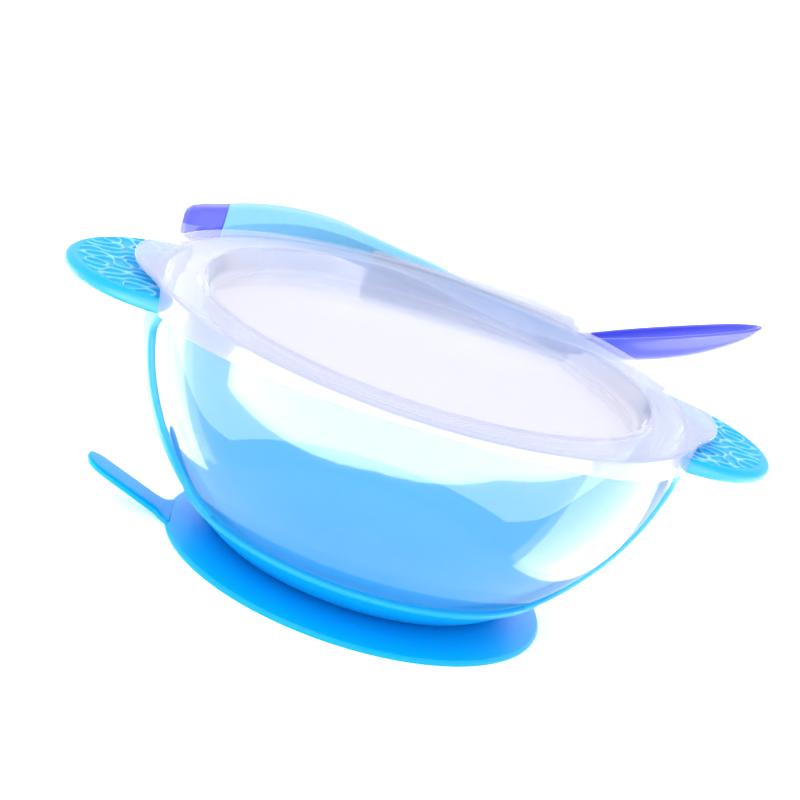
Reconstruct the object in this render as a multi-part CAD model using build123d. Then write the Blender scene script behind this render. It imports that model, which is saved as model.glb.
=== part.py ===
"""Suction bowl for feeding a baby: bowl, soft frame, suction cup, lid and spoon.

Millimetres. +Z is up and +X runs along the line of the two side grips. The origin is
on the bowl's axis, at the level of the surface that the suction cup stands on.
"""
from build123d import *
import math
import os

# Bowl shell: a hard spherical wall with a flat floor and a tongue inside each side grip
BOWL_CENTRE_Z = 61.0
BOWL_OUTER_R = 66.5
BOWL_WALL = 2.0
BOWL_RIM_Z = 60.8
BOWL_FLOOR_Z = 9.5
BOWL_FLOOR_FILLET = 14.0
BOWL_RIM_FILLET = 0.6
TONGUE_REACH_X = 22.0
TONGUE_HALF_Y = 21.0
TONGUE_THICKNESS = 1.6

# Soft frame: a dish under the bowl, two straps up its sides and the side grips
SOFT_PROUD = 1.0
FRAME_BASE_Z = 5.0
DISH_TOP_Z = 13.5
STRAP_HALF_Y = 22.0
GRIP_CENTRE_X = 62.0
GRIP_HALF_X = 26.0
GRIP_HALF_Y = 26.0
GRIP_BOTTOM_Z = 55.8
GRIP_TOP_Z = 59.4
GRIP_DROOP_DEG = 2.5
GRIP_EDGE_R = 1.6
GUSSET_HALF_Y = 19.0
GUSSET_REACH_X = 77.0
GUSSET_FOOT_Z = 42.0

# Suction cup, with the plug that holds it in the dish, and its pull tab
CUP_R = 48.0
CUP_SEAT_INNER_R = 44.5
CUP_EDGE_Z = 1.2
CUP_CROWN_R = 37.2
CUP_CROWN_Z = 4.8
CUP_HOLLOW_Z = 2.4
PLUG_R = 9.0
PLUG_TOP_Z = 7.2
PLUG_CLEARANCE = 0.3
TAB_LENGTH = 17.0
TAB_WIDTH = 9.5
TAB_THICKNESS = 2.0
TAB_RISE_DEG = 21.0
TAB_HINGE_X = 49.2
TAB_HINGE_Z = 1.4

# Lid
LID_R = 68.4
LID_TOP_Z = 62.6
LID_WALL = 1.4
LID_SKIRT_Z = 56.0
LID_RECESS_R = 55.5
LID_PANEL_R = 53.8
LID_PANEL_Z = 57.0
LID_SKIRT_HIGH_Z = 60.2
LID_SKIRT_LOW_X = 62.0
LID_LOBE_X = 52.0
LID_LOBE_HALF_X = 20.5
LID_LOBE_HALF_Y = 26.0
GRIP_GAP_HALF_Y = 28.0
LID_EDGE_R = 2.2

# Spoon clip, a channel that hangs from the lid's far side
CLIP_X = (-14.0, 46.0)
CLIP_Y = (69.4, 80.5)
CLIP_BOTTOM_Z = 47.6
CLIP_WALL = 1.5
CLIP_LOW_END_Z = 58.2
CLIP_SLOPE_START_X = 24.0

# Spoon, lying along X beside the lid: x, height of the middle, width and thickness
SPOON_Y = 75.0
HANDLE_SECTIONS = (
    (-66.0, 53.6, 5.6, 4.8),
    (-65.0, 53.7, 9.4, 7.8),
    (-62.5, 54.0, 12.0, 9.8),
    (-58.0, 55.2, 13.4, 10.4),
    (-50.0, 57.9, 13.6, 10.4),
    (-42.0, 60.0, 13.6, 10.0),
    (-33.0, 61.2, 12.8, 9.6),
    (-24.0, 61.4, 10.4, 9.1),
    (-16.0, 60.6, 7.4, 8.7),
    (-6.0, 59.3, 6.8, 8.6),
    (5.0, 58.1, 6.8, 8.0),
    (14.0, 56.8, 6.8, 7.0),
    (24.0, 55.6, 6.8, 6.6),
    (34.0, 54.0, 6.8, 6.4),
    (44.0, 52.6, 7.6, 6.2),
    (53.0, 53.5, 9.0, 4.6),
)
CORE_SHARE = 0.55
GRIP_START_X = -54.5
GRIP_END_X = 43.0
BLADE_START = (45.0, 52.4)
BLADE_TIP = (95.0, 73.4)
BLADE_WIDTH = 22.0
BLADE_DEPTH = 8.4
BLADE_WALL = 1.5

ROOM = 200.0


def slab(z_low, z_high, half_x=ROOM, half_y=ROOM):
    """A box on the axis between two heights."""
    middle = (z_low + z_high) / 2
    return Pos(0, 0, middle) * Box(2 * half_x, 2 * half_y, z_high - z_low)


def ball(radius):
    return Pos(0, 0, BOWL_CENTRE_Z) * Sphere(radius)


def lowest_rim(solid):
    """The circle round the bottom of a bowl-shaped solid."""
    return solid.edges().filter_by(GeomType.CIRCLE).sort_by(Axis.Z)[0]


def bowl_outside():
    """The bowl as if it were filled, floor fillet included."""
    body = ball(BOWL_OUTER_R) & slab(BOWL_FLOOR_Z - BOWL_WALL, BOWL_RIM_Z)
    return fillet(lowest_rim(body), BOWL_FLOOR_FILLET)


def bowl_hollow():
    body = ball(BOWL_OUTER_R - BOWL_WALL) & slab(BOWL_FLOOR_Z, BOWL_RIM_Z + BOWL_OUTER_R)
    return fillet(lowest_rim(body), BOWL_FLOOR_FILLET)


def grip_place(side):
    """Where a side grip's own middle plane lies; side is +1 or -1 along X."""
    middle = (GRIP_BOTTOM_Z + GRIP_TOP_Z) / 2
    return Pos(side * GRIP_CENTRE_X, 0, middle) * Rot(0, side * GRIP_DROOP_DEG, 0)


def oval_plate(half_x, half_y, thickness):
    return extrude(Ellipse(half_x, half_y), thickness / 2, both=True)


def tongue(side):
    return grip_place(side) * oval_plate(TONGUE_REACH_X, TONGUE_HALF_Y, TONGUE_THICKNESS)


def bowl_shell():
    wall = bowl_outside() - bowl_hollow()
    wall = fillet(wall.edges().group_by(Axis.Z)[-1], BOWL_RIM_FILLET)
    for side in (1, -1):
        wall += tongue(side) - ball(BOWL_OUTER_R - BOWL_WALL / 2)
    return wall


def side_grip(side):
    plate = oval_plate(GRIP_HALF_X, GRIP_HALF_Y, GRIP_TOP_Z - GRIP_BOTTOM_Z)
    return grip_place(side) * fillet(plate.edges(), GRIP_EDGE_R)


def gusset(side):
    """The hollow-curved web that carries a side grip on its strap."""
    radius = BOWL_OUTER_R + SOFT_PROUD
    drop = BOWL_CENTRE_Z - GUSSET_FOOT_Z
    foot = (math.sqrt(radius**2 - drop**2), GUSSET_FOOT_Z)
    tip = (GUSSET_REACH_X, GRIP_BOTTOM_Z + GRIP_EDGE_R)
    middle = (foot[0] + 0.32 * (tip[0] - foot[0]), foot[1] + 0.68 * (tip[1] - foot[1]))
    curve = ThreePointArc(foot, middle, tip)
    inside = (GRIP_CENTRE_X, GUSSET_FOOT_Z)
    above = (GRIP_CENTRE_X, tip[1])
    outline = Curve() + [curve, Line(tip, above), Line(above, inside), Line(inside, foot)]
    web = extrude(Plane.XZ * make_face(outline), GUSSET_HALF_Y, both=True)
    return web if side > 0 else mirror(web, Plane.YZ)


def soft_frame():
    skin = ball(BOWL_OUTER_R + SOFT_PROUD)
    dish = skin & slab(FRAME_BASE_Z, DISH_TOP_Z)
    straps = skin & slab(FRAME_BASE_Z, GRIP_BOTTOM_Z + GRIP_EDGE_R, ROOM, STRAP_HALF_Y)
    frame = dish + straps
    for side in (1, -1):
        frame += side_grip(side) + gusset(side)
    frame -= bowl_outside()
    for side in (1, -1):
        frame -= tongue(side)
    return frame - Cylinder(PLUG_R + PLUG_CLEARANCE, ROOM)


def suction_cup():
    section = Polyline(
        (0, CUP_HOLLOW_Z),
        (CUP_CROWN_R / 2, CUP_HOLLOW_Z),
        (CUP_SEAT_INNER_R, 0),
        (CUP_R, 0),
        (CUP_R, CUP_EDGE_Z),
        (CUP_CROWN_R, CUP_CROWN_Z),
        (PLUG_R, CUP_CROWN_Z),
        (PLUG_R, PLUG_TOP_Z),
        (0, PLUG_TOP_Z),
        close=True,
    )
    return revolve(Plane.XZ * make_face(section), Axis.Z)


def pull_tab():
    """A tongue with a round end. It bends at its root, just clear of the cup's edge."""
    half = TAB_WIDTH / 2
    strip = Pos(-TAB_LENGTH / 2, 0, 0) * Box(TAB_LENGTH, TAB_WIDTH, TAB_THICKNESS)
    end = Pos(-TAB_LENGTH, 0, 0) * Cylinder(half, TAB_THICKNESS)
    tab = strip + end
    return Pos(-TAB_HINGE_X, 0, TAB_HINGE_Z) * Rot(0, TAB_RISE_DEG, 0) * tab


def lid_cover():
    """The turned part of the lid: panel, recess wall, flange and skirt."""
    under = LID_TOP_Z - LID_WALL
    section = Polyline(
        (0, LID_PANEL_Z),
        (LID_PANEL_R, LID_PANEL_Z),
        (LID_RECESS_R, LID_TOP_Z),
        (LID_R, LID_TOP_Z),
        (LID_R, LID_SKIRT_Z),
        (LID_R - LID_WALL, LID_SKIRT_Z),
        (LID_R - LID_WALL, under),
        (LID_RECESS_R + LID_WALL, under),
        (LID_PANEL_R + LID_WALL, LID_PANEL_Z - LID_WALL),
        (0, LID_PANEL_Z - LID_WALL),
        close=True,
    )
    face = make_face(section)
    outer_corner = face.vertices().sort_by_distance((LID_R, LID_TOP_Z, 0))[0]
    return revolve(Plane.XZ * fillet(outer_corner, LID_EDGE_R), Axis.Z)


def lid_ends():
    """Flat lobes over the roots of the side grips."""
    plate = oval_plate(LID_LOBE_HALF_X, LID_LOBE_HALF_Y, LID_WALL)
    middle_z = LID_TOP_Z - LID_WALL / 2
    lobes = Pos(LID_LOBE_X, 0, middle_z) * plate + Pos(-LID_LOBE_X, 0, middle_z) * plate
    return lobes - Cylinder(LID_R - 2 * LID_WALL, ROOM)


def skirt_trim():
    """What is cut from the skirt, which is lowest towards the side grips."""
    low = (LID_SKIRT_LOW_X, LID_SKIRT_Z)
    high = (0, LID_SKIRT_HIGH_Z)
    mirrored_low = (-LID_SKIRT_LOW_X, LID_SKIRT_Z)
    base = Line(mirrored_low, low)
    face = make_face(Curve() + [ThreePointArc(low, high, mirrored_low), base])
    tube = Cylinder(LID_R + LID_WALL / 2, ROOM) - Cylinder(LID_R - LID_WALL, ROOM)
    return extrude(Plane.XZ * face, ROOM, both=True) & tube


def spoon_clip():
    """A channel, open at its top and both ends, on an arm from the flange."""
    x_low, x_high = CLIP_X
    y_low, y_high = CLIP_Y
    outline = Polyline(
        (x_low, CLIP_BOTTOM_Z),
        (x_high, CLIP_BOTTOM_Z),
        (x_high, CLIP_LOW_END_Z),
        (CLIP_SLOPE_START_X, LID_TOP_Z),
        (x_low, LID_TOP_Z),
        close=True,
    )
    middle_y = (y_low + y_high) / 2
    depth = y_high - y_low
    block = extrude(Plane.XZ.offset(-middle_y) * make_face(outline), depth / 2, both=True)
    hollow_depth = depth - 2 * CLIP_WALL
    hollow = Pos(0, middle_y, CLIP_BOTTOM_Z + CLIP_WALL + ROOM / 2) * Box(ROOM, hollow_depth, ROOM)
    arm_z = LID_TOP_Z - LID_WALL / 2
    arm = Pos((x_low + x_high) / 2, y_low / 2 + CLIP_WALL / 2, arm_z)
    arm *= Box(x_high - x_low, y_low + CLIP_WALL, LID_WALL)
    front = Pos((x_low + x_high) / 2, y_low + CLIP_WALL / 2, (CLIP_BOTTOM_Z + LID_TOP_Z) / 2)
    front *= Box(x_high - x_low, CLIP_WALL, LID_TOP_Z - CLIP_BOTTOM_Z)
    return block - hollow + front + (arm - Cylinder(LID_R - 2 * LID_WALL, ROOM))


def lid():
    gap_top = LID_TOP_Z - LID_WALL
    gap = slab(0, gap_top, ROOM, GRIP_GAP_HALF_Y) - Cylinder(LID_R - LID_WALL, ROOM)
    return lid_cover() - skirt_trim() + lid_ends() + spoon_clip() - gap


def handle_loft(share):
    """The handle from its end cap to the blade, at a share of its full thickness."""
    faces = []
    for x, z, width, thickness in HANDLE_SECTIONS:
        place = Plane(origin=(x, SPOON_Y, z), x_dir=(0, 1, 0), z_dir=(1, 0, 0))
        faces.append(place * Ellipse(share * width / 2, share * thickness / 2))
    return loft(faces)


def blade():
    """The spoon's bowl: the lower half of an ellipsoid, hollowed, tip up."""
    run = BLADE_TIP[0] - BLADE_START[0]
    rise = BLADE_TIP[1] - BLADE_START[1]
    half_length = math.hypot(run, rise) / 2
    tilt = math.degrees(math.atan2(rise, run))
    place = Pos(BLADE_START[0] + run / 2, SPOON_Y, BLADE_START[1] + rise / 2) * Rot(0, -tilt, 0)
    half_sizes = (half_length, BLADE_WIDTH / 2, BLADE_DEPTH)
    inner_sizes = tuple(size - BLADE_WALL for size in half_sizes)
    outer = scale(Sphere(1), by=half_sizes) - Pos(0, 0, ROOM / 2) * Box(ROOM, ROOM, ROOM)
    inner = scale(Sphere(1), by=inner_sizes)
    return place * outer, place * inner


def span(x_low, x_high):
    """Everything between two places along X."""
    return Pos((x_low + x_high) / 2, 0, 0) * Box(x_high - x_low, ROOM, ROOM)


def spoon():
    """The hard core, with its cap and blade, and the soft grip round its handle."""
    handle = handle_loft(1)
    slim = handle_loft(CORE_SHARE)
    outer, inner = blade()
    grip = (handle & span(GRIP_START_X, GRIP_END_X)) - slim
    cap = handle & span(-ROOM, GRIP_START_X)
    neck = handle & span(GRIP_END_X, ROOM)
    core = cap + (slim & span(GRIP_START_X, GRIP_END_X)) + neck + outer - inner
    return core, grip


core, grip = spoon()
NODES = {
    "bowl_shell": bowl_shell(),
    "soft_frame": soft_frame(),
    "suction_cup": suction_cup(),
    "pull_tab": pull_tab(),
    "lid": lid(),
    "spoon_core": core,
    "spoon_grip": grip,
}

os.makedirs("parts", exist_ok=True)
for name, shape in NODES.items():
    export_step(shape, f"parts/{name}.step")
    print(f"{name}: {len(shape.solids())} solid, {shape.volume / 1000:.1f} cm3")
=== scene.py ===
"""Looks for the suction bowl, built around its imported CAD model.

Shapes are worked out in millimetres, in the CAD's own frame, and stored in metres.
+Z is up, +X runs along the side grips, and the spoon lies on the +Y side.
"""

import math

import bpy
import numpy as np
from mathutils import Matrix, Vector


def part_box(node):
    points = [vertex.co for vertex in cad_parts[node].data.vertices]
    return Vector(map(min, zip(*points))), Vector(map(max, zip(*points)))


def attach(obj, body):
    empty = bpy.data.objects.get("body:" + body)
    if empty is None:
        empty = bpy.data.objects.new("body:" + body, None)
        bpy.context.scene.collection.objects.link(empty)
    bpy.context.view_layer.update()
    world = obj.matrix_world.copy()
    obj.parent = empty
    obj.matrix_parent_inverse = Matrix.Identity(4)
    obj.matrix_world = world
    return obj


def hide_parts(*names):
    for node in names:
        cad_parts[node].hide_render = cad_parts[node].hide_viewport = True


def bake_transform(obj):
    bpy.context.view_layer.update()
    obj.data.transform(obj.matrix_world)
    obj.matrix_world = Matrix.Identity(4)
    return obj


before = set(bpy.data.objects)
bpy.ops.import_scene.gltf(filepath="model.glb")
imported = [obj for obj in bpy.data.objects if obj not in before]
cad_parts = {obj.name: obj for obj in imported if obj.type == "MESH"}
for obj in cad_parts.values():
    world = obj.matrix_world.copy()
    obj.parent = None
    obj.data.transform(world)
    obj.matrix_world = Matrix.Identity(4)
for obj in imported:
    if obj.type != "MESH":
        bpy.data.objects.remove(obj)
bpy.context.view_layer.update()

MM = 0.001
FINE_SEGMENTS = 320


def box_mm(node):
    """A CAD node's lowest and highest corners, in millimetres."""
    low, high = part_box(node)
    return np.array(low) / MM, np.array(high) / MM


SHELL_LOW, SHELL_HIGH = box_mm("bowl_shell")
FRAME_LOW, FRAME_HIGH = box_mm("soft_frame")
LID_LOW, LID_HIGH = box_mm("lid")
CUP_HIGH = box_mm("suction_cup")[1]

# The bowl is part of a sphere, with its middle just above the rim
BOWL_R = 66.5
BOWL_WALL = 2.0
BOWL_CENTRE_Z = SHELL_HIGH[2] + 0.2
RIM_Z = SHELL_HIGH[2]
UNDER_Z = SHELL_LOW[2]
FLOOR_Z = UNDER_Z + BOWL_WALL
FLOOR_FILLET = 14.0
RIM_ROUND = 0.7

# The soft frame
SKIN_R = BOWL_R + 1.0
HIDDEN_R = BOWL_R - 0.3
DISH_TOP_Z = 13.5
DISH_BASE_Z = FRAME_LOW[2]
DISH_LIP_R = 1.1
DISH_FOOT_ROUND = 1.0
PLUG_HOLE_R = 9.3
STRAP_HALF_Y = 22.5
STRAP_WAIST = 2.6
STRAP_FLARE = 6.0
STRAP_EDGE = 1.3
GRIP_X = 62.0
GRIP_HALF_X = FRAME_HIGH[0] - GRIP_X
GRIP_HALF_Y = 26.0
GRIP_TOP_Z = 59.3
GRIP_BOTTOM_Z = 55.8
GRIP_EDGE = 1.9
GRIP_DROOP = math.tan(math.radians(2.5))

# The lid
LID_R = 68.37
LID_TOP = LID_HIGH[2]
LID_WALL = 1.4
PANEL_WALL = 1.3
SKIRT_MIDDLE_Z = 60.4
SKIRT_SIDE_DROP = 4.2
SKIRT_SIDE_X = 60.0
FLANGE_EDGE_R = 2.6
LOBE_EDGE_R = 1.1
FLANGE_GROOVE_R = (57.1, 57.6, 63.8, 64.4)
FLANGE_GROOVE_DEPTH = 0.4
RECESS_R = 55.5
PANEL_R = 53.8
PANEL_Z = 57.0
LOBE_X = 52.0
LOBE_HALF = (20.5, 26.0)
SKIRT_GAP_HALF_Y = 27.5
SKIRT_END_TURN = math.radians(3.0)

# Beside the spoon the flange slopes down towards the recess
DIP_X = (-14.0, 24.0, 52.0)
DIP = 4.2

# The spoon: x, height of the middle, width and thickness along the handle
SPOON_Y = 75.0
HANDLE_SECTIONS = (
    (-66.0, 53.6, 2.6, 2.2),
    (-65.6, 53.6, 6.4, 5.4),
    (-64.6, 53.8, 9.8, 8.2),
    (-62.5, 54.1, 12.2, 9.8),
    (-58.0, 55.2, 13.4, 10.4),
    (-50.0, 57.9, 13.6, 10.4),
    (-42.0, 60.0, 13.6, 10.0),
    (-33.0, 61.2, 12.8, 9.6),
    (-24.0, 61.4, 10.4, 9.1),
    (-16.0, 60.6, 7.4, 8.7),
    (-6.0, 59.3, 6.8, 8.6),
    (5.0, 58.1, 6.8, 8.0),
    (14.0, 56.8, 6.8, 7.0),
    (24.0, 55.6, 6.8, 6.6),
    (34.0, 54.0, 6.8, 6.4),
    (44.0, 52.6, 7.6, 6.2),
    (53.0, 53.5, 9.0, 4.6),
)
CREASE_RISE_X = (-58.0, -28.0)
CAP_ROUND_X = (-65.0, -59.0)
GRIP_START_X = -54.5
GRIP_END_X = 43.0
BLADE_RIM = ((45.5, 54.0), (50.0, 55.6), (65.0, 61.2), (80.0, 66.9), (90.0, 70.8), (95.0, 72.6))
BLADE_HALF_WIDTH = 10.4
BLADE_DEPTH = 8.4
BLADE_WALL = 1.4
BLADE_EGG = 0.10
BLADE_ROLL = math.tan(math.radians(8.0))


# ---------------------------------------------------------------- mesh helpers


def smoothstep(low, high, value):
    t = np.clip((value - low) / (high - low), 0, 1)
    return t * t * (3 - 2 * t)


def hermite(xs, ys, at):
    """A smooth curve through the points (xs, ys), read at the places at."""
    xs, ys, at = (np.asarray(v, float) for v in (xs, ys, at))
    slope = np.gradient(ys, xs)
    i = np.clip(np.searchsorted(xs, at) - 1, 0, len(xs) - 2)
    width = xs[i + 1] - xs[i]
    t = (at - xs[i]) / width
    return (
        ys[i] * (2 * t**3 - 3 * t**2 + 1)
        + ys[i + 1] * (3 * t**2 - 2 * t**3)
        + slope[i] * width * (t**3 - 2 * t**2 + t)
        + slope[i + 1] * width * (t**3 - t**2)
    )


def new_piece(name, vertices, faces, material):
    """A smooth-shaded mesh object from points in millimetres."""
    mesh = bpy.data.meshes.new(name)
    mesh.from_pydata([tuple(v) for v in np.asarray(vertices) * MM], [], faces)
    mesh.validate()
    mesh.polygons.foreach_set("use_smooth", [True] * len(mesh.polygons))
    mesh.materials.append(material)
    piece = bpy.data.objects.new(name, mesh)
    bpy.context.scene.collection.objects.link(piece)
    return piece


def grid_faces(rows, columns, wrap_rows=False, wrap_columns=False):
    """Quads over a grid of points stored row by row."""
    faces = []
    for i in range(rows if wrap_rows else rows - 1):
        for j in range(columns if wrap_columns else columns - 1):
            below = (i + 1) % rows
            right = (j + 1) % columns
            near, far = i * columns, below * columns
            faces.append((near + j, near + right, far + right, far + j))
    return faces


def axis_fans(segments, columns):
    """Triangles from a grid's first and last columns to two points stored after the grid."""
    start = segments * columns
    faces = []
    for i in range(segments):
        row = i * columns
        after = (i + 1) % segments * columns
        faces.append((start, row, after))
        faces.append((start + 1, after + columns - 1, row + columns - 1))
    return faces


def arc(centre, radius, start_deg, end_deg, steps):
    """Points along a circular arc."""
    angles = np.radians(np.linspace(start_deg, end_deg, steps))
    return [(centre[0] + radius * math.cos(a), centre[1] + radius * math.sin(a)) for a in angles]


def rounded(corners, steps=6):
    """A line through corners (r, z, fillet radius), with each corner rounded."""
    points = []
    for i, (r, z, radius) in enumerate(corners):
        here = np.array((r, z))
        if radius == 0 or i in (0, len(corners) - 1):
            points.append(here)
            continue
        before = np.array(corners[i - 1][:2]) - here
        after = np.array(corners[i + 1][:2]) - here
        reach_before = np.linalg.norm(before)
        reach_after = np.linalg.norm(after)
        before /= reach_before
        after /= reach_after
        half_turn = math.acos(np.clip(before @ after, -1, 1)) / 2
        cut = min(radius / math.tan(half_turn), 0.49 * reach_before, 0.49 * reach_after)
        for t in np.linspace(0, 1, steps):
            a = here + before * cut * (1 - t)
            b = here + after * cut * t
            points.append(a * (1 - t) + b * t)
    return np.array(points)


def lathe(name, profile, material, segments):
    """Turns a line of (r, z) points about Z; it starts and ends on the axis or closes on itself."""
    profile = np.asarray(profile, float)
    on_axis = profile[0][0] < 1e-6
    ring = profile[1:-1] if on_axis else profile
    angles = np.linspace(0, 2 * math.pi, segments, endpoint=False)
    rows = [
        np.column_stack((ring[:, 0] * math.cos(a), ring[:, 0] * math.sin(a), ring[:, 1]))
        for a in angles
    ]
    vertices = np.concatenate(rows)
    faces = grid_faces(segments, len(ring), wrap_rows=True, wrap_columns=not on_axis)
    if on_axis:
        vertices = np.vstack((vertices, (0, 0, profile[0][1]), (0, 0, profile[-1][1])))
        faces += axis_fans(segments, len(ring))
    return new_piece(name, vertices, faces, material)


def sphere_r(z, radius):
    """The bowl sphere's half-width at a height."""
    return math.sqrt(max(radius**2 - (z - BOWL_CENTRE_Z) ** 2, 0))


def skin_sections(name, vertices, rows, material):
    """A solid through a row of closed sections, with a flat face over each end."""
    columns = len(vertices) // rows
    last = (rows - 1) * columns
    faces = grid_faces(rows, columns, wrap_columns=True)
    faces.append(tuple(range(columns)))
    faces.append(tuple(last + j for j in reversed(range(columns))))
    return new_piece(name, vertices, faces, material)


def select_only(pieces):
    bpy.ops.object.select_all(action="DESELECT")
    for piece in pieces:
        piece.select_set(True)
    bpy.context.view_layer.objects.active = pieces[0]


def join(pieces, name):
    """Joins objects into the first one."""
    select_only(pieces)
    bpy.ops.object.join()
    pieces[0].name = name
    return pieces[0]


def recalculate_normals(piece, weld_distance=None):
    """Turns every face outwards, after merging points closer than the distance, if one is given."""
    select_only([piece])
    bpy.ops.object.mode_set(mode="EDIT")
    bpy.ops.mesh.select_all(action="SELECT")
    if weld_distance:
        bpy.ops.mesh.remove_doubles(threshold=weld_distance)
    bpy.ops.mesh.normals_make_consistent(inside=False)
    bpy.ops.object.mode_set(mode="OBJECT")


# ---------------------------------------------------------------- materials

# Shaders read the object's own coordinates, which are in metres
LID_PANEL_EDGE_M = (0.0535, 0.0575)
LID_FADE_Y_M = (0.020, 0.042)
LID_NEAR_OPACITY = 0.52
LID_FAR_OPACITY = 0.33
# Distances over which the cup turns from its darker middle (thick rubber plus a painted shadow under
# the bowl) to its paler edge
CUP_SHADE_AND_THICKNESS_M = (0.036, 0.050)


def principled(name, **sockets):
    material = bpy.data.materials.new(name)
    material.use_nodes = True
    shader = material.node_tree.nodes["Principled BSDF"]
    for socket, value in sockets.items():
        shader.inputs[socket.replace("_", " ")].default_value = value
    return material, material.node_tree, shader


def object_noise(tree, scale, detail=3.0):
    """Noise over the object's own coordinates."""
    coordinates = tree.nodes.new("ShaderNodeTexCoord")
    noise = tree.nodes.new("ShaderNodeTexNoise")
    noise.inputs["Scale"].default_value = scale
    noise.inputs["Detail"].default_value = detail
    tree.links.new(coordinates.outputs["Object"], noise.inputs["Vector"])
    return noise


def ramp(tree, source, stops):
    """A colour ramp over a value; stops are (place, colour)."""
    node = tree.nodes.new("ShaderNodeValToRGB")
    while len(node.color_ramp.elements) < len(stops):
        node.color_ramp.elements.new(0.5)
    for element, (place, colour) in zip(node.color_ramp.elements, stops):
        element.position = place
        element.color = (*colour, 1)
    tree.links.new(source, node.inputs["Fac"])
    return node.outputs["Color"]


def bump(tree, shader, source, strength, distance):
    node = tree.nodes.new("ShaderNodeBump")
    node.inputs["Strength"].default_value = strength
    node.inputs["Distance"].default_value = distance
    tree.links.new(source, node.inputs["Height"])
    tree.links.new(node.outputs["Normal"], shader.inputs["Normal"])


def roughness_from(tree, shader, source, low, high):
    node = tree.nodes.new("ShaderNodeMapRange")
    node.inputs["To Min"].default_value = low
    node.inputs["To Max"].default_value = high
    tree.links.new(source, node.inputs["Value"])
    tree.links.new(node.outputs["Result"], shader.inputs["Roughness"])


def distance_from_axis(tree, near, far):
    """From 0 to 1 between two distances from the bowl's axis, in metres."""
    coordinates = tree.nodes.new("ShaderNodeTexCoord")
    flatten = tree.nodes.new("ShaderNodeVectorMath")
    flatten.operation = "MULTIPLY"
    flatten.inputs[1].default_value = (1, 1, 0)
    tree.links.new(coordinates.outputs["Object"], flatten.inputs[0])
    length = tree.nodes.new("ShaderNodeVectorMath")
    length.operation = "LENGTH"
    tree.links.new(flatten.outputs["Vector"], length.inputs[0])
    reach = tree.nodes.new("ShaderNodeMapRange")
    reach.inputs["From Min"].default_value = near
    reach.inputs["From Max"].default_value = far
    tree.links.new(length.outputs["Value"], reach.inputs["Value"])
    return reach


def bowl_material():
    """Tinted, lightly milky polypropylene with a glossy skin."""
    material, tree, shader = principled(
        "bowl_plastic",
        Alpha=0.42,
        IOR=1.45,
        Coat_Weight=0.9,
        Coat_Roughness=0.03,
    )
    noise = object_noise(tree, scale=18, detail=2)
    colour = ramp(tree, noise.outputs["Fac"], [(0.3, (0.05, 0.42, 0.90)), (0.7, (0.06, 0.44, 0.92))])
    tree.links.new(colour, shader.inputs["Base Color"])
    roughness_from(tree, shader, noise.outputs["Fac"], low=0.10, high=0.15)
    return material


def lid_material():
    """Milky clear polypropylene."""
    material, tree, shader = principled(
        "lid_plastic",
        IOR=1.45,
        Coat_Weight=0.5,
        Coat_Roughness=0.04,
    )
    noise = object_noise(tree, scale=22, detail=2)
    from_panel = distance_from_axis(tree, *LID_PANEL_EDGE_M)
    colour = ramp(
        tree, from_panel.outputs["Result"], [(0.0, (0.60, 0.55, 0.61)), (1.0, (0.49, 0.52, 0.70))]
    )
    tree.links.new(colour, shader.inputs["Base Color"])
    coordinates = tree.nodes.new("ShaderNodeTexCoord")
    parts = tree.nodes.new("ShaderNodeSeparateXYZ")
    tree.links.new(coordinates.outputs["Object"], parts.inputs["Vector"])
    opacity = tree.nodes.new("ShaderNodeMapRange")
    opacity.inputs["From Min"].default_value = LID_FADE_Y_M[0]
    opacity.inputs["From Max"].default_value = LID_FADE_Y_M[1]
    opacity.inputs["To Min"].default_value = LID_NEAR_OPACITY
    opacity.inputs["To Max"].default_value = LID_FAR_OPACITY
    tree.links.new(parts.outputs["Y"], opacity.inputs["Value"])
    tree.links.new(opacity.outputs["Result"], shader.inputs["Alpha"])
    roughness_from(tree, shader, noise.outputs["Fac"], low=0.14, high=0.22)
    return material


def soft_material():
    """The soft frame: satin thermoplastic rubber, paler along the tops of the ridges, partly wear
    and partly a painted highlight.
    """
    material, tree, shader = principled(
        "soft_grip",
        Subsurface_Weight=0.25,
        Subsurface_Scale=0.003,
        Specular_IOR_Level=0.22,
    )
    shader.inputs["Subsurface Radius"].default_value = (0.2, 0.6, 1.0)
    ridge = tree.nodes.new("ShaderNodeAttribute")
    ridge.attribute_name = "ridge"
    # Paler colour on the tops of the ridges: partly wear, partly a painted highlight.
    colour = ramp(
        tree,
        ridge.outputs["Fac"],
        [(0.0, (0.0, 0.37, 0.80)), (0.5, (0.03, 0.41, 0.84)), (1.0, (0.20, 0.54, 0.90))],
    )
    tree.links.new(colour, shader.inputs["Base Color"])
    grain = object_noise(tree, scale=900, detail=4)
    roughness_from(tree, shader, grain.outputs["Fac"], low=0.34, high=0.5)
    bump(tree, shader, grain.outputs["Fac"], strength=0.12, distance=0.0002)
    return material


def cup_material():
    """The suction cup: the same rubber, darker in its middle, partly deeper where it is thick and
    partly a painted shadow under the bowl, and paler at its thin edge.
    """
    material, tree, shader = principled(
        "cup_rubber",
        Subsurface_Weight=0.3,
        Subsurface_Scale=0.004,
        Specular_IOR_Level=0.2,
    )
    shader.inputs["Subsurface Radius"].default_value = (0.2, 0.6, 1.0)
    reach = distance_from_axis(tree, *CUP_SHADE_AND_THICKNESS_M)
    # Darker towards the middle: partly the thicker rubber, partly a painted shadow under the bowl.
    colour = ramp(
        tree,
        reach.outputs["Result"],
        [(0.0, (0.0, 0.25, 0.70)), (0.45, (0.0, 0.34, 0.78)), (1.0, (0.0, 0.43, 0.86))],
    )
    tree.links.new(colour, shader.inputs["Base Color"])
    grain = object_noise(tree, scale=700, detail=3)
    roughness_from(tree, shader, grain.outputs["Fac"], low=0.25, high=0.38)
    bump(tree, shader, grain.outputs["Fac"], strength=0.06, distance=0.0002)
    return material


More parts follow.
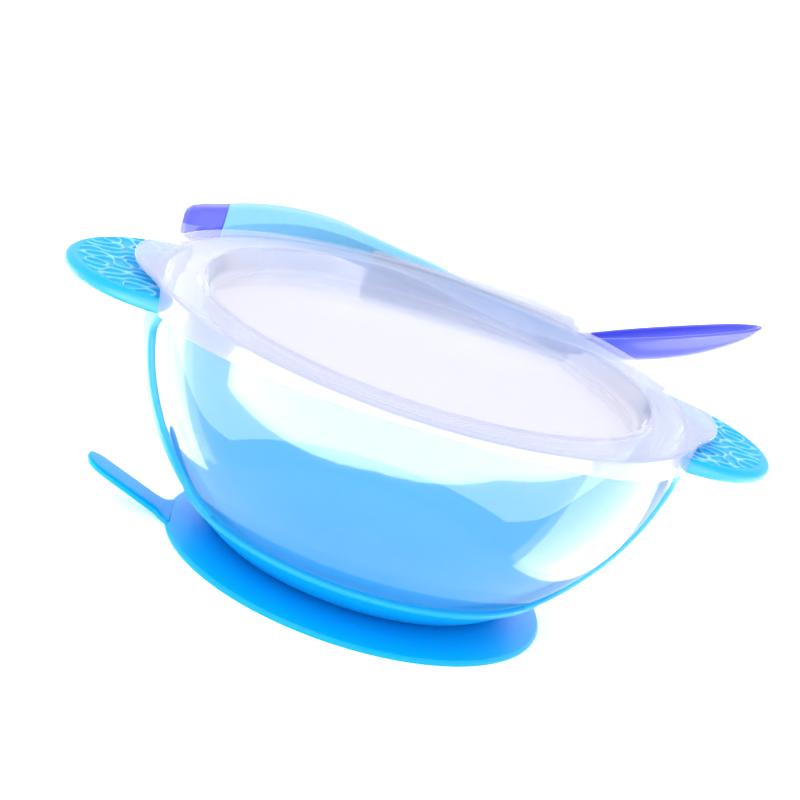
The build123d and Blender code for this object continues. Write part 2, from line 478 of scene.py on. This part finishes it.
def spoon_material():
    material, tree, shader = principled(
        "spoon_plastic",
        Subsurface_Weight=0.15,
        Subsurface_Scale=0.003,
        Specular_IOR_Level=0.5,
        Coat_Weight=0.15,
        Coat_Roughness=0.15,
    )
    shader.inputs["Subsurface Radius"].default_value = (0.5, 0.5, 1.0)
    noise = object_noise(tree, scale=60, detail=3)
    colour = ramp(
        tree, noise.outputs["Fac"], [(0.3, (0.07, 0.085, 0.66)), (0.7, (0.08, 0.10, 0.70))]
    )
    tree.links.new(colour, shader.inputs["Base Color"])
    roughness_from(tree, shader, noise.outputs["Fac"], low=0.3, high=0.42)
    return material


def spoon_grip_material():
    material, tree, shader = principled(
        "spoon_soft",
        Subsurface_Weight=0.25,
        Subsurface_Scale=0.003,
        Specular_IOR_Level=0.45,
        Sheen_Weight=0.1,
    )
    shader.inputs["Subsurface Radius"].default_value = (0.4, 0.8, 1.0)
    grain = object_noise(tree, scale=800, detail=4)
    colour = ramp(
        tree, grain.outputs["Fac"], [(0.3, (0.17, 0.46, 0.67)), (0.7, (0.19, 0.49, 0.69))]
    )
    tree.links.new(colour, shader.inputs["Base Color"])
    roughness_from(tree, shader, grain.outputs["Fac"], low=0.38, high=0.52)
    bump(tree, shader, grain.outputs["Fac"], strength=0.1, distance=0.0002)
    return material


BOWL_PLASTIC = bowl_material()
LID_PLASTIC = lid_material()
SOFT_GRIP = soft_material()
CUP_RUBBER = cup_material()
SPOON_PLASTIC = spoon_material()
SPOON_SOFT = spoon_grip_material()


# ---------------------------------------------------------------- bowl shell


def wall_line(radius, floor_z, top_z, steps):
    """The bowl's wall seen in section, from the floor's middle to the rim, with its floor fillet."""
    drop = BOWL_CENTRE_Z - floor_z
    corner_drop = drop - FLOOR_FILLET
    reach = math.sqrt((radius - FLOOR_FILLET) ** 2 - corner_drop**2)
    centre = (reach, floor_z + FLOOR_FILLET)
    turn = math.degrees(math.asin(corner_drop / (radius - FLOOR_FILLET)))
    fillet = arc(centre, FLOOR_FILLET, -90, -turn, 14)
    start = -turn
    end = -math.degrees(math.asin((BOWL_CENTRE_Z - top_z) / radius))
    wall = arc((0, BOWL_CENTRE_Z), radius, start, end, steps)
    flat = [(r, floor_z) for r in np.linspace(0, reach, 8)[:-1]]
    return flat + fillet + wall[1:]


def build_bowl_shell():
    edge_z = RIM_Z - RIM_ROUND
    inside = wall_line(BOWL_R - BOWL_WALL, FLOOR_Z, edge_z, 60)
    outside = wall_line(BOWL_R, UNDER_Z, edge_z, 60)
    rim = arc((inside[-1][0] + RIM_ROUND, edge_z), RIM_ROUND, 180, 90, 6)[1:]
    rim += arc((outside[-1][0] - RIM_ROUND, edge_z), RIM_ROUND, 90, 0, 6)[:-1]
    profile = inside + rim + outside[::-1]
    piece = lathe("bowl_wall", profile, BOWL_PLASTIC, FINE_SEGMENTS)
    recalculate_normals(piece)
    return piece


# ---------------------------------------------------------------- soft frame


def build_dish():
    """The dish under the bowl, with a rounded lip, and the hole for the cup's plug."""
    lip_z = DISH_TOP_Z - DISH_LIP_R
    foot_r = sphere_r(DISH_BASE_Z, SKIN_R)
    inner_z = UNDER_Z + 0.2
    inner_r = 30.0
    skin_heights = np.linspace(DISH_BASE_Z + 1.2, lip_z - 1.4, 24)
    skin = [(sphere_r(z, SKIN_R), z) for z in skin_heights]
    foot_corners = [
        (foot_r - 3, DISH_BASE_Z, 0),
        (foot_r, DISH_BASE_Z, DISH_FOOT_ROUND),
        (*skin[0], 0),
    ]
    foot = rounded(foot_corners)
    lip_centre = (sphere_r(lip_z, SKIN_R - 0.6), lip_z)
    lip = arc(lip_centre, DISH_LIP_R, -35, 125, 12)
    hidden = [(sphere_r(z, HIDDEN_R), z) for z in np.linspace(lip_z, UNDER_Z + 2.4, 20)]
    profile = [
        (PLUG_HOLE_R, DISH_BASE_Z),
        *[tuple(p) for p in foot[:-1]],
        *skin,
        *lip,
        *hidden,
        (inner_r, inner_z),
        (PLUG_HOLE_R, inner_z),
    ]
    return lathe("dish", profile, SOFT_GRIP, FINE_SEGMENTS)


def strap_half_width(z):
    """The strap's half-width: flared into the dish and the side grip, with a waist between."""
    low = STRAP_FLARE * (1 - smoothstep(DISH_TOP_Z - 3, DISH_TOP_Z + 10, z)) ** 2
    waist = STRAP_WAIST * smoothstep(24, 44, z)
    high = STRAP_FLARE * smoothstep(46, 57, z) ** 2
    return STRAP_HALF_Y + low - waist + high


def build_strap(side):
    """A strap from the dish up to a side grip, hugging the bowl."""
    foot_z, top_z = 9.0, 57.5
    sunk = 0.3
    proud_of_bowl = 1.35
    sink_into_dish = 1.2
    heights = np.linspace(foot_z, top_z, 90)
    close_to_edge = np.array((0, 0.1, 0.3, 0.6, 1.0)) * 0.09
    middle = np.linspace(-0.85, 0.85, 19)
    across = np.concatenate((close_to_edge - 1, middle, 1 - close_to_edge[::-1]))
    outer, inner = [], []
    for z in heights:
        half = strap_half_width(z)
        sink = sink_into_dish * (1 - smoothstep(foot_z + 0.5, DISH_TOP_Z - 1.5, z))
        for share in across:
            y = share * half
            into_edge = np.clip((abs(y) - (half - STRAP_EDGE)) / STRAP_EDGE, 0, 1)
            proud = proud_of_bowl * math.sqrt(max(1 - into_edge**2, 0)) - sunk - sink
            for points, radius in ((outer, BOWL_R + proud), (inner, HIDDEN_R - 0.4)):
                x = math.sqrt(radius**2 - y**2 - (z - BOWL_CENTRE_Z) ** 2)
                points.append((side * x, y, z))
    rows, columns = len(heights), len(across)
    faces = grid_faces(rows, columns)
    count = rows * columns
    faces += [tuple(count + i for i in reversed(face)) for face in grid_faces(rows, columns)]
    rim = [i * columns for i in range(rows)]
    rim += [(rows - 1) * columns + j for j in range(1, columns)]
    rim += [i * columns + columns - 1 for i in range(rows - 2, -1, -1)]
    rim += list(range(columns - 2, 0, -1))
    for a, b in zip(rim, rim[1:] + rim[:1]):
        faces.append((a, b, count + b, count + a))
    return new_piece(f"strap_{side}", outer + inner, faces, SOFT_GRIP)


WAVE_SEED = 7
WAVE_COUNT = 9
WAVE_JITTER = 0.1
RIDGE_SPACING = 6.2
RIDGE_EDGE = (0.12, 0.72)
RIDGE_HEIGHT = 0.55
RIDGE_BED_DEPTH = 0.3
RIDGE_FADE = (0.5, 1.3)
ROOT_START = 0.42


def ridge_waves():
    """Directions and phases of the waves whose sum makes the maze of ridges."""
    rng = np.random.default_rng(WAVE_SEED)
    directions = np.linspace(0, math.pi, WAVE_COUNT, endpoint=False)
    directions += rng.uniform(-WAVE_JITTER, WAVE_JITTER, WAVE_COUNT)
    return directions, rng.uniform(0, 2 * math.pi, WAVE_COUNT)


def ridge_field(x, y):
    """From 0 between the ridges to 1 along their tops, which follow the zeros of the sum."""
    directions, phases = ridge_waves()
    pitch = 2 * math.pi / RIDGE_SPACING
    total = sum(
        np.cos(pitch * (x * math.cos(d) + y * math.sin(d)) + p) for d, p in zip(directions, phases)
    )
    usual_size = math.sqrt(WAVE_COUNT / 2)
    return 1 - smoothstep(*RIDGE_EDGE, np.abs(total) / usual_size)


def bezier(start, first, second, end, t):
    return (
        start * (1 - t) ** 3
        + 3 * first * t * (1 - t) ** 2
        + 3 * second * t**2 * (1 - t)
        + end * t**3
    )


def grip_root(start, out, reach, inner, away):
    """The hollow curve from under a side grip down to the bowl's wall; away is 1 at its sides."""
    foot_z = 43.0 + 10.0 * smoothstep(0.35, 0.95, away)
    foot_r = sphere_r(foot_z, HIDDEN_R - 0.2)
    radial = inner / np.linalg.norm(inner)
    end = np.array((*(radial * foot_r), foot_z))
    rise = np.array((*(radial * (BOWL_CENTRE_Z - foot_z) / foot_r), 1.0))
    rise /= np.linalg.norm(rise)
    first = start - np.array((*out, 0)) * 0.34 * reach
    second = end + rise * 0.55 * (GRIP_BOTTOM_Z - foot_z)
    return [bezier(start, first, second, end, t) for t in np.linspace(0, 1, 18)[1:]]


def grip_section(turn, side):
    """One upright section of a side grip, as a closed line of points from the wall out and back."""
    outline = np.array((GRIP_X + GRIP_HALF_X * math.cos(turn), GRIP_HALF_Y * math.sin(turn)))
    inner_y = 0.985 * outline[1]
    inner = np.array((math.sqrt((HIDDEN_R - 0.3) ** 2 - inner_y**2), inner_y))
    reach = np.linalg.norm(outline - inner)
    out = (outline - inner) / max(reach, 1e-6)
    edge = min(GRIP_EDGE, 0.45 * reach)
    centre_z = (GRIP_TOP_Z + GRIP_BOTTOM_Z) / 2
    half = (GRIP_TOP_Z - GRIP_BOTTOM_Z) / 2
    points, ridges = [], []

    def place(flat, z, ridge=0.0):
        droop = -(flat[0] - GRIP_X) * GRIP_DROOP
        points.append((side * flat[0], flat[1], z + droop))
        ridges.append(ridge)

    for t in np.linspace(0, 1, 120):
        flat = inner + out * t * (reach - edge)
        from_edge = (reach - edge) * (1 - t)
        inside = smoothstep(*RIDGE_FADE, from_edge)
        value = float(ridge_field(flat[0], flat[1] * side) * inside)
        # The same value also colours the tops of the ridges paler, partly wear and partly a painted
        # highlight.
        place(flat, GRIP_TOP_Z - RIDGE_BED_DEPTH * inside + RIDGE_HEIGHT * value, value)
    for a in np.radians(np.linspace(80, -80, 12)):
        place(inner + out * (reach - edge + edge * math.cos(a)), centre_z + half * math.sin(a))
    under_start = inner + out * (reach - edge)
    under_end = inner + out * ROOT_START * reach
    for t in np.linspace(0, 1, 12):
        place(under_start * (1 - t) + under_end * t, GRIP_BOTTOM_Z)
    start = np.array((*under_end, GRIP_BOTTOM_Z - (under_end[0] - GRIP_X) * GRIP_DROOP))
    away = min(abs(outline[1]) / GRIP_HALF_Y, 1)
    for x, y, z in grip_root(start, out, reach, inner, away):
        points.append((side * x, y, z))
        ridges.append(0.0)
    return points, ridges


def build_grip(side):
    """A side grip: ridged top, rounded edge and a hollow-curved root."""
    turns = np.radians(np.linspace(-95, 95, 240))
    vertices, ridges = [], []
    for turn in turns:
        points, values = grip_section(turn, side)
        vertices += points
        ridges += values
    piece = skin_sections(f"grip_{side}", vertices, len(turns), SOFT_GRIP)
    # Read by the soft material for the paler tops of the ridges, partly wear and partly a painted
    # highlight.
    attribute = piece.data.attributes.new("ridge", "FLOAT", "POINT")
    attribute.data.foreach_set("value", ridges)
    return piece


def build_soft_frame():
    parts = [build_dish()]
    for side in (1, -1):
        parts += [build_strap(side), build_grip(side)]
    for part in parts:
        recalculate_normals(part)
    return join(parts, "soft_frame_moulding")


# ---------------------------------------------------------------- suction cup


PLUG_R = 9.0
CROWN_R = 36.0
CROWN_Z = 4.7
SEAT_INNER_R = 44.5
HOLLOW_Z = 2.4


def build_cup():
    """The disc, seen in section from the plug's top, over the edge and back under the middle."""
    rim_r, plug_z = CUP_HIGH[1], CUP_HIGH[2]
    corners = [
        (0, plug_z, 0),
        (PLUG_R, plug_z, 0.8),
        (PLUG_R, CROWN_Z, 0.8),
        (CROWN_R, CROWN_Z, 2.0),
        (41.0, 3.1, 6.0),
        (rim_r - 0.6, 1.35, 0.5),
        (rim_r, 0.7, 0.5),
        (rim_r - 0.1, 0.0, 0.2),
        (SEAT_INNER_R, 0.0, 2.0),
        (34.0, 1.3, 12.0),
        (14.0, HOLLOW_Z, 8.0),
        (0, HOLLOW_Z, 0),
    ]
    piece = lathe("suction_cup_disc", rounded(corners, 8), CUP_RUBBER, FINE_SEGMENTS)
    recalculate_normals(piece)
    return piece


TAB_ROOT_X = -46.5
TAB_TIP_X = -70.0
TAB_HALF_WIDTH = 4.75
TAB_ROOT_FLARE = 3.4
TAB_SLOPE = math.tan(math.radians(21.0))
TAB_ROUND_END = 0.25


def build_tab():
    """The pull tab: it grows out of the cup's edge, thins along its length and ends round."""
    section = np.linspace(0, 2 * math.pi, 40, endpoint=False)
    rows = 60
    vertices = []
    for t in np.linspace(0, 1, rows):
        x = TAB_ROOT_X + (TAB_TIP_X - TAB_ROOT_X) * t
        out = -x - CUP_HIGH[1]
        half = TAB_HALF_WIDTH + TAB_ROOT_FLARE * (1 - smoothstep(-1.5, 4.5, out)) ** 2
        to_tip = (x - TAB_TIP_X) / TAB_HALF_WIDTH
        if to_tip < 1:
            half *= math.sqrt(max(1 - (1 - to_tip) ** 2, 0.0009))
        thick = (0.55 + 0.45 * smoothstep(-1.5, 2.5, out)) * (1 - 0.1 * t)
        if to_tip < TAB_ROUND_END:
            thick *= math.sqrt(max(1 - (1 - to_tip / TAB_ROUND_END) ** 2, 0.01))
        z = 1.0 + TAB_SLOPE * (out - 0.6) * smoothstep(-1.0, 2.5, out)
        for a in section:
            c, s = math.cos(a), math.sin(a)
            y = half * math.copysign(abs(c) ** 0.35, c)
            vertices.append((x, y, z + thick * math.copysign(abs(s) ** 0.6, s)))
    piece = skin_sections("pull_tab_tongue", vertices, rows, CUP_RUBBER)
    recalculate_normals(piece)
    return piece


# ---------------------------------------------------------------- lid


def lid_edge_r(turn):
    """The flange's outer edge: a circle with a rounded lobe over each side grip."""
    c, s = abs(math.cos(turn)), math.sin(turn)
    half_x, half_y = LOBE_HALF
    a = (c / half_x) ** 2 + (s / half_y) ** 2
    b = -2 * LOBE_X * c / half_x**2
    k = (LOBE_X / half_x) ** 2 - 1
    inside = b * b - 4 * a * k
    if inside <= 0:
        return LID_R
    lobe = (-b + math.sqrt(inside)) / (2 * a)
    blend = 0.6
    return LID_R + blend * math.log(1 + math.exp((lobe - LID_R) / blend))


def flange_dip(turn):
    """How far the flange's inner edge lies below the lid's top."""
    if math.sin(turn) < 0:
        return 0.0
    x = RECESS_R * math.cos(turn)
    start, middle, end = DIP_X
    return DIP * float(smoothstep(start, middle, x) * (1 - smoothstep(middle, end, x)))


def groove_corners(recess_top):
    """The shallow groove round the flange, between a bead at the recess and the outer edge."""
    corners = []
    outer_r = FLANGE_GROOVE_R[-1]
    for i, r in enumerate(FLANGE_GROOVE_R):
        up = (r - RECESS_R) / (outer_r - RECESS_R)
        sunk = FLANGE_GROOVE_DEPTH if i in (1, 2) else 0.0
        corners.append((r, recess_top + (LID_TOP - recess_top) * up - sunk, 0.25))
    return corners


def skirt_share(turn):
    """From 0 over the side grips, where the lid has no skirt, to 1 elsewhere."""
    gap_turn = math.asin(SKIRT_GAP_HALF_Y / LID_R)
    from_x = math.asin(abs(math.sin(turn)))
    return float(smoothstep(gap_turn - SKIRT_END_TURN, gap_turn, from_x))


def lid_section(turn):
    """The lid in section, from the panel's middle over the flange and skirt and back under."""
    under = LID_TOP - LID_WALL
    lip_z = under + 0.35
    edge_r = lid_edge_r(turn)
    dip = flange_dip(turn)
    along = abs(LID_R * math.cos(turn)) / SKIRT_SIDE_X
    skirt_z = SKIRT_MIDDLE_Z - SKIRT_SIDE_DROP * along**1.5
    low_z = min(under + (skirt_z - under) * skirt_share(turn), lip_z - 0.35)
    on_circle = smoothstep(1.5, 0.2, edge_r - LID_R)
    edge_round = LOBE_EDGE_R + (FLANGE_EDGE_R - LOBE_EDGE_R) * on_circle
    skirt_r = min(edge_r, LID_R + 0.6)
    inner_r = LID_R - LID_WALL
    corners = [
        (0, PANEL_Z, 0),
        (PANEL_R, PANEL_Z, 2.2),
        (RECESS_R, LID_TOP - dip, 0.9),
        *groove_corners(LID_TOP - dip),
        (edge_r, LID_TOP, edge_round),
        (edge_r + 0.01, lip_z - 0.1, 0.1),
        (skirt_r - 0.01, lip_z - 0.3, 0.1),
        (skirt_r, low_z, 0.3),
        (inner_r, low_z, 0.3),
        (inner_r - 0.02, under, 0.4),
        (RECESS_R + PANEL_WALL, under - 0.01 - dip, 1.0),
        (PANEL_R + 1.0, PANEL_Z - PANEL_WALL, 2.0),
        (0, PANEL_Z - PANEL_WALL, 0),
    ]
    return rounded(corners)[1:-1]


def build_lid():
    segments = 720
    vertices = []
    for turn in np.linspace(0, 2 * math.pi, segments, endpoint=False):
        section = lid_section(turn)
        vertices += [(r * math.cos(turn), r * math.sin(turn), z) for r, z in section]
    columns = len(section)
    faces = grid_faces(segments, columns, wrap_rows=True) + axis_fans(segments, columns)
    vertices += [(0, 0, PANEL_Z), (0, 0, PANEL_Z - PANEL_WALL)]
    piece = new_piece("lid_cover", vertices, faces, LID_PLASTIC)
    recalculate_normals(piece)
    return piece


CLIP_X = (-14.0, 46.0)
CLIP_Y = (69.4, 80.5)
CLIP_LOW_Z = LID_LOW[2]
CLIP_WALL = 1.5
CLIP_END_ROUND = 1.2
CLIP_SLOPE = 4.3
CLIP_SLOPE_X = (20.0, 52.0)


def build_clip():
    """The channel that holds the spoon's neck, and the web that joins it to the lid."""
    y_low, y_high = CLIP_Y
    floor_z = CLIP_LOW_Z + CLIP_WALL
    web_z = LID_TOP - 0.06
    rows = 60
    vertices = []
    for x in np.linspace(*CLIP_X, rows):
        to_end = min(x - CLIP_X[0], CLIP_X[1] - x)
        into_round = max(CLIP_END_ROUND - to_end, 0)
        round_off = CLIP_END_ROUND - math.sqrt(max(CLIP_END_ROUND**2 - into_round**2, 0))
        wall_top = LID_TOP - 0.1 - CLIP_SLOPE * smoothstep(*CLIP_SLOPE_X, x) ** 0.8 - round_off
        web_y = math.sqrt(LID_R**2 - x * x) - 0.7
        corners = [
            (web_y, web_z, 0),
            (y_low + CLIP_WALL, web_z, 0.7),
            (y_low + CLIP_WALL, floor_z, 1.2),
            (y_high - CLIP_WALL, floor_z, 1.2),
            (y_high - CLIP_WALL, wall_top, 0.6),
            (y_high, wall_top, 0.6),
            (y_high, CLIP_LOW_Z + round_off, 2.2),
            (y_low, CLIP_LOW_Z + round_off, 2.0),
            (y_low, LID_TOP - LID_WALL, 1.0),
            (web_y, LID_TOP - LID_WALL, 0),
        ]
        vertices += [(x, y, z) for y, z in rounded(corners)]
    piece = skin_sections("lid_spoon_clip", vertices, rows, LID_PLASTIC)
    recalculate_normals(piece)
    return piece


# ---------------------------------------------------------------- spoon


def handle_section(x):
    rows = np.array(HANDLE_SECTIONS)
    return [float(hermite(rows[:, 0], rows[:, k], x)) for k in (1, 2, 3)]


def section_outline(x, width, thickness):
    """The handle's section: a soft top facet, a crease along each side and a rounded belly."""
    crease = 0.1 + 0.45 * smoothstep(*CREASE_RISE_X, x)
    roundness = 1 - smoothstep(*CAP_ROUND_X, x)
    half_w, half_t = width / 2, thickness / 2
    corners = [
        (0.0, half_t, 0),
        (0.50 * half_w, 0.97 * half_t, 0.45 * half_w),
        (half_w, crease * half_t, 0.10 * half_w),
        (0.80 * half_w, -0.75 * half_t, 0.5 * half_w),
        (0.40 * half_w, -half_t, 0.4 * half_w),
        (0.0, -half_t, 0),
    ]
    right = rounded(corners, 7)
    left = right[1:-1][::-1] * (-1, 1)
    outline = np.vstack((right, left))
    to_ellipse = 1 / np.hypot(outline[:, 0] / half_w, outline[:, 1] / half_t)
    return outline * (1 + roundness * (to_ellipse - 1))[:, None]


def build_handle(name, places, material):
    """A stretch of the handle as a closed solid, with a section at each place along it."""
    vertices = []
    for x in places:
        z, width, thickness = handle_section(x)
        outline = section_outline(x, width, thickness)
        vertices += [(x, SPOON_Y + y, z + up) for y, up in outline]
    piece = skin_sections(name, vertices, len(places), material)
    recalculate_normals(piece)
    return piece


def blade_levels():
    """Rings over the blade: share of its size, share of its depth and turn round the rim."""
    under = [(math.sin(a), -math.cos(a), 0) for a in np.linspace(0, math.pi / 2, 26)]
    rim = [(1, 0, a) for a in np.linspace(0, math.pi, 8)[1:-1]]
    inside = [(share, depth, math.pi) for share, depth, _ in reversed(under)]
    return under + rim + inside


def build_blade():
    """The spoon's bowl: an egg-shaped shell with a rounded rim."""
    rim_x, rim_z = np.array(BLADE_RIM).T
    middle_x = (rim_x[0] + rim_x[-1]) / 2
    half_length = (rim_x[-1] - rim_x[0]) / 2
    half_wall = BLADE_WALL / 2
    turns = np.linspace(0, 2 * math.pi, 128, endpoint=False)
    levels = blade_levels()
    vertices = []
    for share, depth, rim in levels:
        inset = half_wall * (1 - math.cos(rim))
        lift = 0.7 * half_wall * math.sin(rim)
        down = depth * (BLADE_DEPTH - inset)
        for turn in turns:
            egg = (1 + BLADE_EGG * math.cos(turn)) / 1.02
            x = middle_x + (half_length - inset) * share * math.cos(turn)
            across = (BLADE_HALF_WIDTH - inset) * share * math.sin(turn) * egg
            z = float(hermite(rim_x, rim_z, x)) + down + lift - across * BLADE_ROLL
            vertices.append((x, SPOON_Y + across, z))
    faces = grid_faces(len(levels), len(turns), wrap_columns=True)
    piece = new_piece("spoon_blade", vertices, faces, SPOON_PLASTIC)
    recalculate_normals(piece, weld_distance=1e-6)
    return piece


def build_spoon():
    start_x, end_x = HANDLE_SECTIONS[0][0], HANDLE_SECTIONS[-1][0]
    cap_places = start_x + (GRIP_START_X - start_x) * np.linspace(0, 1, 40) ** 2
    cap = build_handle("spoon_cap", cap_places, SPOON_PLASTIC)
    neck = build_handle("spoon_neck", np.linspace(GRIP_END_X, end_x - 3, 24), SPOON_PLASTIC)
    core = join([build_blade(), neck, cap], "spoon_core_moulding")
    grip_places = np.linspace(GRIP_START_X, GRIP_END_X, 160)
    grip = build_handle("spoon_grip_sleeve", grip_places, SPOON_SOFT)
    return core, grip


# ---------------------------------------------------------------- pieces

bowl = build_bowl_shell()
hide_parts("bowl_shell")
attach(bowl, "bowl")

soft = build_soft_frame()
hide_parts("soft_frame")
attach(soft, "bowl")

cup = build_cup()
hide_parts("suction_cup")
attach(cup, "cup")

tab = build_tab()
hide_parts("pull_tab")
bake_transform(tab)

lid = build_lid()
clip = build_clip()
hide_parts("lid")
for piece in (lid, clip):
    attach(piece, "lid")

spoon_core, spoon_grip = build_spoon()
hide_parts("spoon_core")
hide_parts("spoon_grip")
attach(spoon_core, "spoon")
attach(spoon_grip, "spoon")


# ---------------------------------------------------------------- stage


FLOOR_HALF_M = 6.0


def build_floor():
    mesh = bpy.data.meshes.new("floor")
    size = FLOOR_HALF_M
    corners = [(-size, -size, 0), (size, -size, 0), (size, size, 0), (-size, size, 0)]
    mesh.from_pydata(corners, [], [(0, 1, 2, 3)])
    material, _, shader = principled("floor", Roughness=0.9, Specular_IOR_Level=0.0)
    shader.inputs["Base Color"].default_value = (0.96, 0.96, 0.96, 1)
    shader.inputs["Emission Color"].default_value = (1, 1, 1, 1)
    shader.inputs["Emission Strength"].default_value = 0.4
    mesh.materials.append(material)
    floor = bpy.data.objects.new("floor", mesh)
    bpy.context.scene.collection.objects.link(floor)


# Bright sheets on the table, seen only as reflections in the glossy pieces
GLOW_SHEETS = {
    "front": (
        (-170, -60), (-130, -55), (-20, -115), (80, -135), (180, -95),
        (420, -200), (420, -400), (-420, -400), (-420, -160),
    ),
    "right": ((50, -50), (110, -70), (420, -150), (420, 120), (80, 40)),
    "left": ((-60, -25), (-170, 20), (-420, 60), (-420, 300), (-90, 90)),
    "back": ((150, 100), (40, 135), (-90, 130), (-420, 400), (420, 400), (420, 200)),
}
GLOW_Z = 2.0
GLOW_STRENGTH = {"front": 16.0, "right": 6.5, "left": 6.5, "back": 9.0}


def glow_material(name, strength):
    material = bpy.data.materials.new(name)
    material.use_nodes = True
    tree = material.node_tree
    tree.nodes.clear()
    emission = tree.nodes.new("ShaderNodeEmission")
    emission.inputs["Strength"].default_value = strength
    output = tree.nodes.new("ShaderNodeOutputMaterial")
    tree.links.new(emission.outputs["Emission"], output.inputs["Surface"])
    return material


def build_glow_sheets():
    for name, outline in GLOW_SHEETS.items():
        vertices = [(x, y, GLOW_Z) for x, y in outline]
        material = glow_material(f"glow_{name}", GLOW_STRENGTH[name])
        sheet = new_piece(f"glow_{name}", vertices, [tuple(range(len(vertices)))], material)
        sheet.visible_camera = False
        sheet.visible_diffuse = False
        sheet.visible_transmission = False
        sheet.visible_volume_scatter = False
        sheet.visible_shadow = False


LIGHTS_AIM = (0, 0, 0.04)
WORLD_STRENGTH = 1.42


def aim(thing, place, target, roll_deg=0.0):
    """Places a light or camera, points it at the target and rolls it about its line of sight."""
    direction = Vector(target) - Vector(place)
    look = direction.to_track_quat("-Z", "Y").to_matrix().to_4x4()
    roll = Matrix.Rotation(math.radians(roll_deg), 4, "Z")
    thing.matrix_world = Matrix.Translation(place) @ look @ roll


def add_light(name, place, size, power):
    data = bpy.data.lights.new(name, "AREA")
    data.shape = "RECTANGLE"
    data.size, data.size_y = size
    data.energy = power
    light = bpy.data.objects.new(name, data)
    bpy.context.scene.collection.objects.link(light)
    light.visible_camera = False
    aim(light, place, LIGHTS_AIM)


def build_lights():
    add_light("key", place=(-0.5, -0.7, 1.1), size=(0.9, 0.7), power=3)
    add_light("top", place=(0, 0.3, 1.3), size=(1.0, 1.0), power=2)
    world = bpy.data.worlds.new("world")
    bpy.context.scene.world = world
    world.use_nodes = True
    background = world.node_tree.nodes["Background"]
    background.inputs["Color"].default_value = (1.0, 1.0, 1.0, 1)
    background.inputs["Strength"].default_value = WORLD_STRENGTH


VIEW_AZIMUTH = -6.5
VIEW_ELEVATION = 18.2
VIEW_ROLL = 18.5
VIEW_DISTANCE = 0.5
VIEW_LENS = 92.8
VIEW_MIDDLE = Vector((0, 0, 0.03))
AIM_RIGHT = -0.0021
AIM_UP = 0.0144


def build_camera():
    """The camera, rolled so that the bowl leans in the picture and aimed a little above it."""
    az, el = math.radians(VIEW_AZIMUTH), math.radians(VIEW_ELEVATION)
    away = Vector((math.sin(az) * math.cos(el), -math.cos(az) * math.cos(el), math.sin(el)))
    place = VIEW_MIDDLE + away * VIEW_DISTANCE
    data = bpy.data.cameras.new("camera")
    data.lens = VIEW_LENS
    data.clip_start = 0.01
    camera = bpy.data.objects.new("camera", data)
    bpy.context.scene.collection.objects.link(camera)
    right = Vector((math.cos(az), math.sin(az), 0))
    up = right.cross(-away)
    target = VIEW_MIDDLE + AIM_RIGHT * right + AIM_UP * up
    aim(camera, place, target, VIEW_ROLL)
    bpy.context.scene.camera = camera


build_floor()
build_glow_sheets()
build_lights()
build_camera()
bpy.context.scene.view_settings.view_transform = "Standard"
